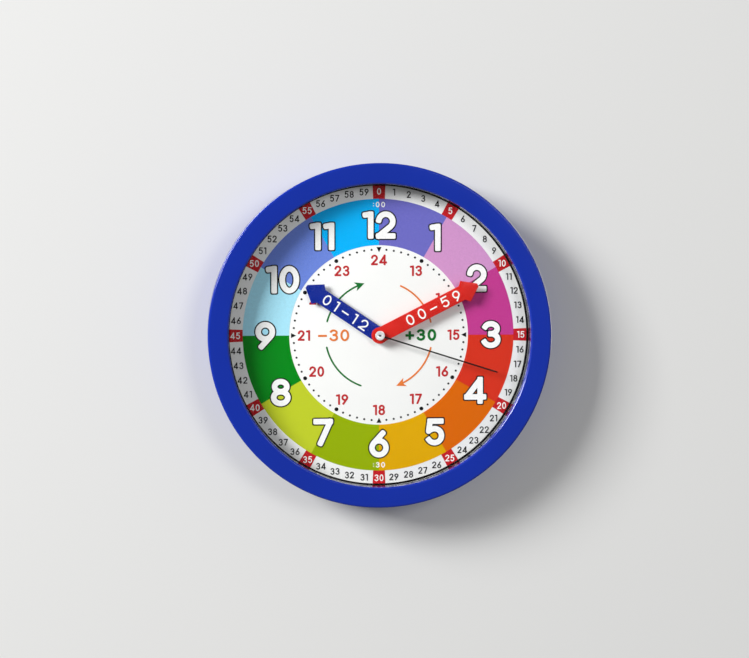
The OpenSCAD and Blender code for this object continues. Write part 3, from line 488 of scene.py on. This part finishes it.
def figure(sign, wide, line):
    """Pen lines of one figure in a box of height 1, for a pen of that line width, and the figure's width.
    Round figures are ellipses and arcs that touch the box, straight strokes run between its edges,
    and each line has its squareness: a joint's end is round, so that it hides in the stroke that it meets."""
    h = line / 2
    low, high, left, right, mid, r = h, 1 - h, h, wide - h, wide / 2, wide / 2 - h
    waist, round_end, slant_end, cut_end = 0.53, 2.0, 3.0, 5.0
    upper, lower = (high + waist) / 2, (waist + low) / 2
    if sign == "0":
        lines = [(oval(mid, 0.5, r, 0.5 - h, 90, 450), round_end)]
    elif sign == "1":
        wide = 0.2 + line
        lines = [([(wide - h, high), (wide - h, low)], cut_end),
                 ([(h, high - 0.03), (wide - h, high)], slant_end)]
    elif sign == "2":
        turn = tangent((left, low), (mid, high - r), r)
        lines = [(np.concatenate([oval(mid, high - r, r, r, 172, turn), [(left, low)]]), slant_end),
                 ([(left, low), (right, low)], cut_end)]
    elif sign == "3":
        lines = [(oval(mid, upper, 0.9 * r, (high - waist) / 2, 155, -90), cut_end),
                 (oval(mid, lower, r, (waist - low) / 2, 90, -155), cut_end)]
    elif sign == "4":
        wide *= 1.15
        right = wide - h
        post, bar = right - 0.13, 0.26
        lines = [([(post, high), (post, low)], cut_end), ([(left, bar), (right, bar)], cut_end),
                 ([(post, high), (left, bar)], round_end)]
    elif sign == "5":
        bowl, stem = (0.62 - low) / 2, left + 0.08
        lines = [([(stem, high), (right - 0.03, high)], cut_end),
                 ([(stem, high), (left + 0.03, waist)], round_end),
                 (oval(mid - 0.01, low + bowl, r, bowl, 118, -145), cut_end)]
    elif sign in "69":
        neck = mid + 0.14
        turn = tangent((neck, high), (mid, low + r), r)
        lines = [(oval(mid, low + r, r, r, 0, 360), round_end),
                 ([(neck, high), oval(mid, low + r, r, r, turn, turn)[0]], slant_end)]
    elif sign == "7":
        lines = [([(left, high), (right, high)], cut_end), ([(right, high), (mid - 0.1, low)], slant_end)]
    elif sign == "8":
        lines = [(oval(mid, upper, 0.86 * r, (high - waist) / 2, 0, 360), round_end),
                 (oval(mid, lower, r, (waist - low) / 2, 0, 360), round_end)]
    elif sign == ":":
        wide = 2.4 * h
        lines = [([(wide / 2 - h / 9, y), (wide / 2 + h / 9, y)], round_end) for y in (0.25, 0.7)]
    else:
        bar = 0.46
        lines = [([(left, bar), (right, bar)], cut_end)]
        lines += [([(mid, bar - r), (mid, bar + r)], cut_end)] if sign == "+" else []
    lines = [(np.asarray(path, float), end) for path, end in lines]
    if sign == "9":
        lines = [(np.array([wide, 1.0]) - path, end) for path, end in lines]
    return lines, wide


def number(text, height, line, at, wide, gap, turn=0.0):
    """Pen paths of a number of that height, its middle at a point, turned anticlockwise by turn degrees.
    The width of a figure and the gap between two are shares of the height."""
    paths, reach = [], 0.0
    for sign in text:
        lines, width = figure(sign, wide, line / height)
        paths += [(path + [reach, 0], end) for path, end in lines]
        reach += width + gap
    middle = np.array([(reach - gap) / 2, 0.5])
    c, s = np.cos(np.radians(turn)), np.sin(np.radians(turn))
    return [((path - middle) * height @ np.array([[c, s], [-s, c]]) + at, end) for path, end in paths]


def wedge(inner, outer, start, end, steps=24):
    """Both edges of a ring's sector, from one angle to another clockwise from twelve."""
    turn = np.linspace(start, end, steps + 1)
    return clock(outer, turn), clock(inner, turn)


def ink(name, marks, level, body="case", base=dial_front):
    """One print layer: each mark is its two edge lines and its colour, which its points carry.
    Marks that follow each other differ in height by a hair, so that crossing strokes don't share a plane."""
    tops = base + (level + 1) * ink_layer + np.arange(len(marks)) % ink_heights * ink_step
    shapes = [strip(left, right, base - ink_step, top) for (left, right, _), top in zip(marks, tops)]
    tints = [np.tile(linear(*tint), (len(points), 1)) for (points, _), (_, _, tint) in zip(shapes, marks)]
    piece(name, gather(*shapes), dial_print, body, tints=np.concatenate(tints))


def penned(paths, width, tint):
    """Marks of pen lines of one width and colour."""
    return [(*pen(path, width, end), tint) for path, end in paths]


dial_print = dial_ink()
black, white, red = (18, 18, 20), (250, 250, 248), (196, 30, 38)
disc_r, minute_in, minute_out = 78.9 * mm, 119.5 * mm, 131 * mm
hours, minutes = range(12), range(60)
sector_tints = [(109, 107, 193), (209, 149, 201), (192, 59, 141), (212, 50, 29), (218, 102, 2), (223, 167, 0),
                (148, 173, 0), (192, 205, 43), (0, 133, 22), (171, 230, 249), (108, 134, 218), (0, 178, 249)]
ink("dial_sectors", [(*wedge(disc_r, minute_in, 30 * k, 30 * k + 30), sector_tints[k]) for k in hours], 0)
# A thin black ring printed at the dial's edge, just inside the lip: painted shade where the lip meets the
# dial.
ink("dial_edge_painted_shade", [(*wedge(minute_out, dial_r, 0, 360, 240), black)], 0)

block_w = 10.8 * mm
block_half = np.degrees(block_w / 2 / ((minute_in + minute_out) / 2))
ink("dial_minute_blocks", [(*wedge(minute_in, minute_out, 30 * k - block_half, 30 * k + block_half, 6), red)
                           for k in hours], 0)
minute_mid, minute_h, minute_line, minute_wide, minute_gap = 126 * mm, 5.9 * mm, 0.9 * mm, 0.6, 0.16
minute_marks = []
for k in minutes:
    tint = white if k % 5 == 0 else black
    minute_paths = number(str(k), minute_h, minute_line, clock(minute_mid, 6 * k), minute_wide, minute_gap)
    minute_marks += penned(minute_paths, minute_line, tint)
ink("dial_minute_numbers", minute_marks, 1)

hour_h, hour_line, hour_outline, hour_wide, hour_gap = 24 * mm, 4.9 * mm, 2.2 * mm, 0.72, 0.09
hour_mid = mm * np.array([96.5, 99, 100, 99.3, 98.7, 99.1, 96, 98.5, 99.8, 99.8, 97.7, 100])
hour_paths = [number(str(k or 12), hour_h, hour_line, clock(hour_mid[k], 30 * k), hour_wide, hour_gap)
              for k in hours]
ink("dial_hour_outlines", [m for p in hour_paths for m in penned(p, hour_line + hour_outline, black)], 1)
ink("dial_hour_numbers", [m for p in hour_paths for m in penned(p, hour_line, white)], 2)

day_h, day_line, day_wide, day_gap = 9.3 * mm, 1.75 * mm, 0.64, 0.13
day_mid = mm * np.array([66, 65.2, 64.6, 66, 64.6, 65.2, 66, 65.2, 63.4, 66, 63.2, 65.2])
day_red = (190, 46, 50)
day_paths = [number(str(k + 12 if k else 24), day_h, day_line, clock(day_mid[k], 30 * k), day_wide, day_gap)
             for k in hours]
ink("dial_day_numbers", [m for p in day_paths for m in penned(p, day_line, day_red)], 0)

track_r, dot_r, hour_dot_r, wedge_l, dots = 75.1 * mm, 0.9 * mm, 1.7 * mm, 4.4 * mm, 72


def dot(at, radius):
    """Both edges of a round dot: a pen line of no length to speak of."""
    return pen(np.array([at - [radius / 50, 0], at + [radius / 50, 0]]), 2 * radius)


track = [(*dot(clock(track_r, k * 360 / dots), dot_r if k % (dots // 12) else hour_dot_r), black)
         for k in range(dots) if k % (dots // 4)]
track += [(*half, black) for k in range(4)
          for half in dart(clock(track_r, 90 * k), 90 * k + 180, wedge_l, wedge_l)]
ink("dial_minute_track", track, 0)

arc_r, arc_line, arc_end = 47.2 * mm, 1.5 * mm, 2.0
head_l, head_across, head_notch, head_ahead, head_turn = 8.6 * mm, 8 * mm, 2.4 * mm, 2, 93
before_orange, past_green = (228, 124, 58), (20, 110, 44)
arcs = []
for start_turn, end_turn, headed, tint in ((200, 257, False, past_green), (285, 337, True, past_green),
                                           (24, 76, False, before_orange), (104, 154, True, before_orange)):
    arcs += penned([(clock(arc_r, np.linspace(start_turn, end_turn, 30)), arc_end)], arc_line, tint)
    if headed:
        head_at = clock(arc_r, end_turn + head_ahead)
        head = dart(head_at, end_turn + head_turn, head_l, head_across, head_notch)
        arcs += [(*half, tint) for half in head]
ink("dial_turn_arcs", arcs, 0)

sign_h, sign_wide, sign_gap, thin_line, bold_line = 10.4 * mm, 0.74, 0.2, 1.8 * mm, 2.2 * mm
minus_at, plus_at = [-40 * mm, 0], [37 * mm, 0]
signs = penned(number("-30", sign_h, thin_line, minus_at, sign_wide, sign_gap), thin_line, before_orange)
signs += penned(number("+30", sign_h, bold_line, plus_at, sign_wide, sign_gap), bold_line, past_green)
small_h, small_line, small_r, small_wide, small_gap = 4.8 * mm, 0.85 * mm, 114.5 * mm, 0.7, 0.3
for text, turn in ((":00", 0), (":30", 180)):
    small_paths = number(text, small_h, small_line, clock(small_r, turn), small_wide, small_gap)
    signs += penned(small_paths, small_line, white)
ink("dial_signs", signs, 1)


# The hands: flat arrows punched from thick glossy plastic, blue for the hour and red for the minute,
# with white figures printed along them, each pushed onto its pipe at a round tail.
def pointing(node):
    """Length and direction of a hand: its greatest radius,
    and the mean direction of the corners near it, in degrees."""
    place = corners(node)
    radius = np.hypot(place[:, 0], place[:, 2])
    near_tip = 0.99 * radius.max()
    tip = place[radius > near_tip].mean(axis=0)
    return radius.max(), np.degrees(np.arctan2(tip[0], tip[2]))


def blade(along, half_width, bore, back, front, rounding, direction):
    """A flat blade with a bore: a half section carried along it, from the bore's edge out to the blade's own
    edge, whose corners are rounded, then mirrored. The bore's half width is the root of
    (bore squared less along squared)."""
    inner = np.sqrt(np.clip(bore ** 2 - along ** 2, 0, None))
    inner = np.minimum(inner, half_width)[:, None]
    edge = np.minimum(rounding, (half_width - inner[:, 0]) / 2)[:, None]
    swing = np.radians(np.linspace(90, 0, 5))
    across = np.concatenate([inner, inner, half_width[:, None] - edge * (1 - np.cos(swing)),
                             half_width[:, None] - edge * (1 - np.cos(swing[::-1]))], axis=1)
    depth = np.concatenate([np.full_like(inner, back), np.full_like(inner, front),
                            front - edge * (1 - np.sin(swing)),
                            back + edge * (1 - np.sin(swing[::-1]))], axis=1)
    rows, columns = across.shape
    faces = net(rows, columns, round_rows=False)
    inside = (np.abs(across.ravel()[faces]) < 1e-9).all(axis=1)
    faces = faces[~inside]
    ahead, aside = clock(1.0, direction), clock(1.0, direction + 90)
    halves = []
    for hand in (1, -1):
        flat = along[:, None, None] * ahead + hand * across[:, :, None] * aside
        halves.append((np.concatenate([flat, depth[:, :, None]], axis=2).reshape(-1, 3), faces))
    return gather(*halves)


hand_w, hand_edge, tail_r = 13.3 * mm, 0.3 * mm, 7.2 * mm
head_w, head_long, shoulder, tip_w = 20.5 * mm, 15.6 * mm, 3.5 * mm, 3 * mm


def arrow(node, bore, material, body):
    """One hand: the tail's circle, the straight arm, the sloping shoulder and the head that narrows
    to a blunt tip. Gives back its direction and how far its face stands from the wall."""
    length, direction = pointing(node)
    back, front = span(node)[2:]
    neck = length - head_long
    tail = -tail_r * np.cos(np.radians(np.linspace(0, 112, 40)))
    around = bore * np.cos(np.radians(np.linspace(180, 0, 25)))
    arm = np.linspace(tail[-1], neck, 30)
    head = np.concatenate([np.linspace(neck, neck + shoulder, 6), np.linspace(neck + shoulder, length, 16)])
    along = np.unique(np.concatenate([tail, around, arm, head, [0.0]]).round(7))
    circle = np.sqrt(np.clip(tail_r ** 2 - along ** 2, 0, None))
    widths = np.array([hand_w, hand_w, head_w, tip_w])
    straight = np.interp(along, [0, neck, neck + shoulder, length], widths / 2, left=0.0)
    half_width = np.maximum(circle, straight)
    along, half_width = np.append(along, length), np.append(half_width, 0.0)
    shape = blade(along, half_width, bore, back, front, hand_edge, direction)
    piece(node + "_arrow", shape, material, body, [node])
    return direction, front


hour_blue = finish("hour_blue", (6, 36, 140), 0.28, patch=12, grain=0.4, depth=0.003, mirror=0.15)
minute_red = finish("minute_red", (208, 33, 25), 0.28, patch=12, grain=0.4, depth=0.003, mirror=0.15)
hour_bore, minute_bore = span("hour_hand")[0], span("minute_hand")[0]
hour_way, hour_front = arrow("hour_hand", hour_bore, hour_blue, "hour")
minute_way, minute_front = arrow("minute_hand", minute_bore, minute_red, "minute")
label_h, label_line, label_wide, label_gap = 9.4 * mm, 1.3 * mm, 0.72, 0.5
hour_label_r, minute_label_r = 36 * mm, 53 * mm
hour_label = number("01-12", label_h, label_line, clock(hour_label_r, hour_way),
                    label_wide, label_gap, -hour_way - 90)
minute_label = number("00-59", label_h, label_line, clock(minute_label_r, minute_way),
                      label_wide, label_gap, 90 - minute_way)
ink("hour_hand_numbers", penned(hour_label, label_line, white), 0, "hour", hour_front)
ink("minute_hand_numbers", penned(minute_label, label_line, white), 0, "minute", minute_front)

# The second hand: a thin black blade with a round eye, stamped from sheet, under a silver cap.
# The cap is pressed over the arbor, whose end shows in the cap's dimple in dark grey, as painted shade in the
# hollow.
second_black = finish("second_black", (11, 11, 12), 0.5, drift=0.1, patch=6, grain=0.2, depth=0.002,
                      mirror=0.1)
second_long, second_way = pointing("second_hand")
second_bore, _, second_back, second_front = span("second_hand")
eye_r, second_w = 2.6 * mm, 1.3 * mm
second_along = np.unique(np.concatenate([-eye_r * np.cos(np.radians(np.linspace(0, 165, 40))),
                                         second_bore * np.cos(np.radians(np.linspace(180, 0, 17))),
                                         np.linspace(eye_r, second_long, 24), [0.0]]).round(7))
second_half = np.maximum(np.sqrt(np.clip(eye_r ** 2 - second_along ** 2, 0, None)),
                         np.where(second_along >= 0, second_w / 2, 0.0))
second_along, second_half = np.append(second_along, second_long), np.append(second_half, 0.0)
second_edge = 0.12 * mm
second_shape = blade(second_along, second_half, second_bore, second_back, second_front, second_edge,
                     second_way)
piece("second_hand_blade", second_shape, second_black, "second", ["second_hand"])

cap_silver = finish("cap_silver", (220, 219, 220), 0.26, drift=0.04, patch=2, grain=0.08, depth=0.002,
                    metal=0.3)
_, cap_r, cap_back, cap_front = span("second_hub")
dimple_r, dimple_d, cap_edge = 1.8 * mm, 0.33 * mm, 0.35 * mm
dish = np.linspace(0, 1, 9)[::-1]
piece("second_hub_cap", lathe(np.concatenate([
    [(0, cap_back), (cap_r, cap_back)],
    bend(cap_r - cap_edge, cap_front - cap_edge, cap_edge, 0, 90, 6),
    np.stack([dimple_r * dish, cap_front - dimple_d * (1 - dish ** 2)], axis=1)]), 96),
      cap_silver, "second", ["second_hub"])
# The arbor's end is coloured dark grey: painted shade at the bottom of the cap's dimple.
arbor_end_painted_shade = finish("arbor_end_painted_shade", (92, 90, 94), 0.35, drift=0.06, patch=1, grain=0.06, depth=0.002,
                     metal=0.8)
arbor_r, arbor_edge, arbor_below, arbor_sink = 1.15 * mm, 0.2 * mm, 0.12 * mm, 0.1 * mm
arbor_z, arbor_foot = cap_front - arbor_below, cap_front - dimple_d - arbor_sink
piece("second_arbor_end_painted_shade", lathe(np.concatenate([
    [(0, arbor_foot), (arbor_r, arbor_foot)],
    bend(arbor_r - arbor_edge, arbor_z - arbor_edge, arbor_edge, 0, 90, 4), [(0, arbor_z)]]), 48),
      arbor_end_painted_shade, "second")

# The spacer ring: moulded in black, it holds the dial's edge down and carries the window.
# Its polished inner wall shows below the case's lip and mirrors the edge of the dial.
ring_in, ring_out, ring_back, ring_front = span("spacer_ring")
ring_edge = 0.25 * mm
spacer_black = finish("spacer_black", (14, 14, 17), 0.12, drift=0.08, patch=40, grain=0.4, depth=0.001)
piece("spacer_ring_turned", lathe(np.concatenate([
    bend(ring_in + ring_edge, ring_back + ring_edge, ring_edge, 180, 270, 4),
    [(ring_out, ring_back), (ring_out, ring_front)],
    bend(ring_in + ring_edge, ring_front - ring_edge, ring_edge, 90, 180, 4)])),
      spacer_black, "case", ["spacer_ring"])


# The window: a flat clear disc that lies in the case's rebate in front of the hands.
# Lamps reach the dial through it, and it mirrors the room faintly.
def greater(tree, first, second):
    """The greater of two values."""
    node = add(tree, "ShaderNodeMath", "MAXIMUM")
    tree.links.new(first, node.inputs[0])
    tree.links.new(second, node.inputs[1])
    return node.outputs["Value"]


def mixed(tree, share, first, second):
    """Makes a material's surface a mix of two shaders, first * (1 - share) + second * share."""
    node = add(tree, "ShaderNodeMixShader", Fac=share)
    tree.links.new(first.outputs["BSDF"], node.inputs[1])
    tree.links.new(second.outputs["BSDF"], node.inputs[2])
    tree.links.new(node.outputs["Shader"], tree.nodes["Material Output"].inputs["Surface"])


lens_edge = 0.2 * mm
window = bpy.data.materials.new("clear_window")
window.use_nodes = True
window_tree = window.node_tree
clear = window_tree.nodes["Principled BSDF"]
clear.inputs["Base Color"].default_value = (0.985, 0.995, 0.99, 1)
clear.inputs["Roughness"].default_value = 0.02
clear.inputs["IOR"].default_value = 1.12
clear.inputs["Transmission Weight"].default_value = 1.0
rays = window_tree.nodes.new("ShaderNodeLightPath").outputs
lets_through = greater(window_tree, rays["Is Shadow Ray"], rays["Is Diffuse Ray"])
mixed(window_tree, lets_through, clear, window_tree.nodes.new("ShaderNodeBsdfTransparent"))
piece("lens_disc", lathe(np.concatenate([
    [(0, lens_back), (lens_r - lens_edge, lens_back), (lens_r, lens_back + lens_edge)],
    [(lens_r, lens_front - lens_edge), (lens_r - lens_edge, lens_front), (0, lens_front)]])),
      window, "case", ["lens"])

# The wall behind the clock: plain and pale, it shows only from the front and takes the clock's shadow.
# From behind it lets the light through, so that the back of the clock can be seen.
wall_half, wall_gap = 2.5, 1.5 * mm
wall_mesh = bpy.data.meshes.new("wall")
wall_corners = [(-wall_half, wall_gap, -wall_half), (wall_half, wall_gap, -wall_half),
                (wall_half, wall_gap, wall_half), (-wall_half, wall_gap, wall_half)]
wall_mesh.from_pydata(wall_corners, [], [(0, 1, 2, 3)])
wall = bpy.data.objects.new("wall", wall_mesh)
bpy.context.scene.collection.objects.link(wall)
wall_paint = bpy.data.materials.new("wall_paint")
wall_paint.use_nodes = True
paint_tree = wall_paint.node_tree
paint = paint_tree.nodes["Principled BSDF"]
paint.inputs["Base Color"].default_value = (0.72, 0.72, 0.71, 1)
paint.inputs["Roughness"].default_value = 0.9
paint.inputs["Specular IOR Level"].default_value = 0.1
facing = paint_tree.nodes.new("ShaderNodeNewGeometry").outputs
looks = paint_tree.nodes.new("ShaderNodeLightPath").outputs
looked_at = greater(paint_tree, looks["Is Camera Ray"], looks["Is Transmission Ray"])
shown = add(paint_tree, "ShaderNodeMath", "SUBTRACT")
paint_tree.links.new(looked_at, shown.inputs[0])
paint_tree.links.new(facing["Backfacing"], shown.inputs[1])
shown.use_clamp = True
mixed(paint_tree, shown.outputs["Value"], paint_tree.nodes.new("ShaderNodeBsdfTransparent"), paint)
wall_mesh.materials.append(wall_paint)


# The light: a wide soft lamp up to the left in front, a weak fill from the right, and two lamps behind.
# The world adds an even pale light and is a pale backdrop wherever the wall isn't seen.
def lamp(name, at, size, power):
    """A square area lamp at a place, turned to the point where the hand axis meets the wall."""
    light = bpy.data.lights.new(name, "AREA")
    light.size = size
    light.energy = power
    made = bpy.data.objects.new(name, light)
    made.location = at
    made.rotation_euler = (-Vector(at)).to_track_quat("-Z", "Y").to_euler()
    bpy.context.scene.collection.objects.link(made)


lamp("key", at=(-3.87, -2.48, 1.97), size=1.7, power=340)
lamp("fill", at=(1.5, -3.6, 1.0), size=1.2, power=31)
lamp("back_left", at=(-1.2, 1.5, 1.0), size=1.2, power=38)
lamp("back_right", at=(1.3, 1.4, 0.4), size=1.2, power=18)
world = bpy.data.worlds.new("room")
world.use_nodes = True
room = world.node_tree
room_light, backdrop_light = 0.235, 0.6
seen = room.nodes.new("ShaderNodeLightPath").outputs
mirrored = greater(room, seen["Is Glossy Ray"], seen["Is Transmission Ray"])
backdrop = greater(room, seen["Is Camera Ray"], mirrored)
strength = add(room, "ShaderNodeMapRange", Value=backdrop, To_Min=room_light, To_Max=backdrop_light)
room.nodes["Background"].inputs["Color"].default_value = (1.0, 1.0, 1.0, 1)
room.links.new(strength.outputs["Result"], room.nodes["Background"].inputs["Strength"])
bpy.context.scene.world = world
bpy.context.scene.view_settings.view_transform = "Standard"

# The camera: a little to the left of the hand axis and a little above it, near enough that the rim hides.
# The case's front edge falls on the same place in the picture as in the photograph, and is as wide.
image_w, image_h, sensor_w = 749, 658, 36
edge_x, edge_y, edge_across = 380.6, 335.75, 345.6
azimuth, elevation, distance = np.radians(-5.5), np.radians(2.8), 1.6
scale = 2 * case_r / edge_across
right_by, down_by = edge_x - (image_w - 1) / 2, edge_y - (image_h - 1) / 2
middle = np.array([-right_by * scale, edge_r - face_z, down_by * scale])
eye = middle + distance * np.array([np.sin(azimuth) * np.cos(elevation), -np.cos(azimuth) * np.cos(elevation),
                                    np.sin(elevation)])
camera_data = bpy.data.cameras.new("camera")
camera_data.sensor_width = sensor_w
camera_data.lens = sensor_w * distance / (image_w * scale)
camera = bpy.data.objects.new("camera", camera_data)
camera.location = eye
camera.rotation_euler = (Vector(middle) - Vector(eye)).to_track_quat("-Z", "Y").to_euler()
bpy.context.scene.collection.objects.link(camera)
bpy.context.scene.camera = camera
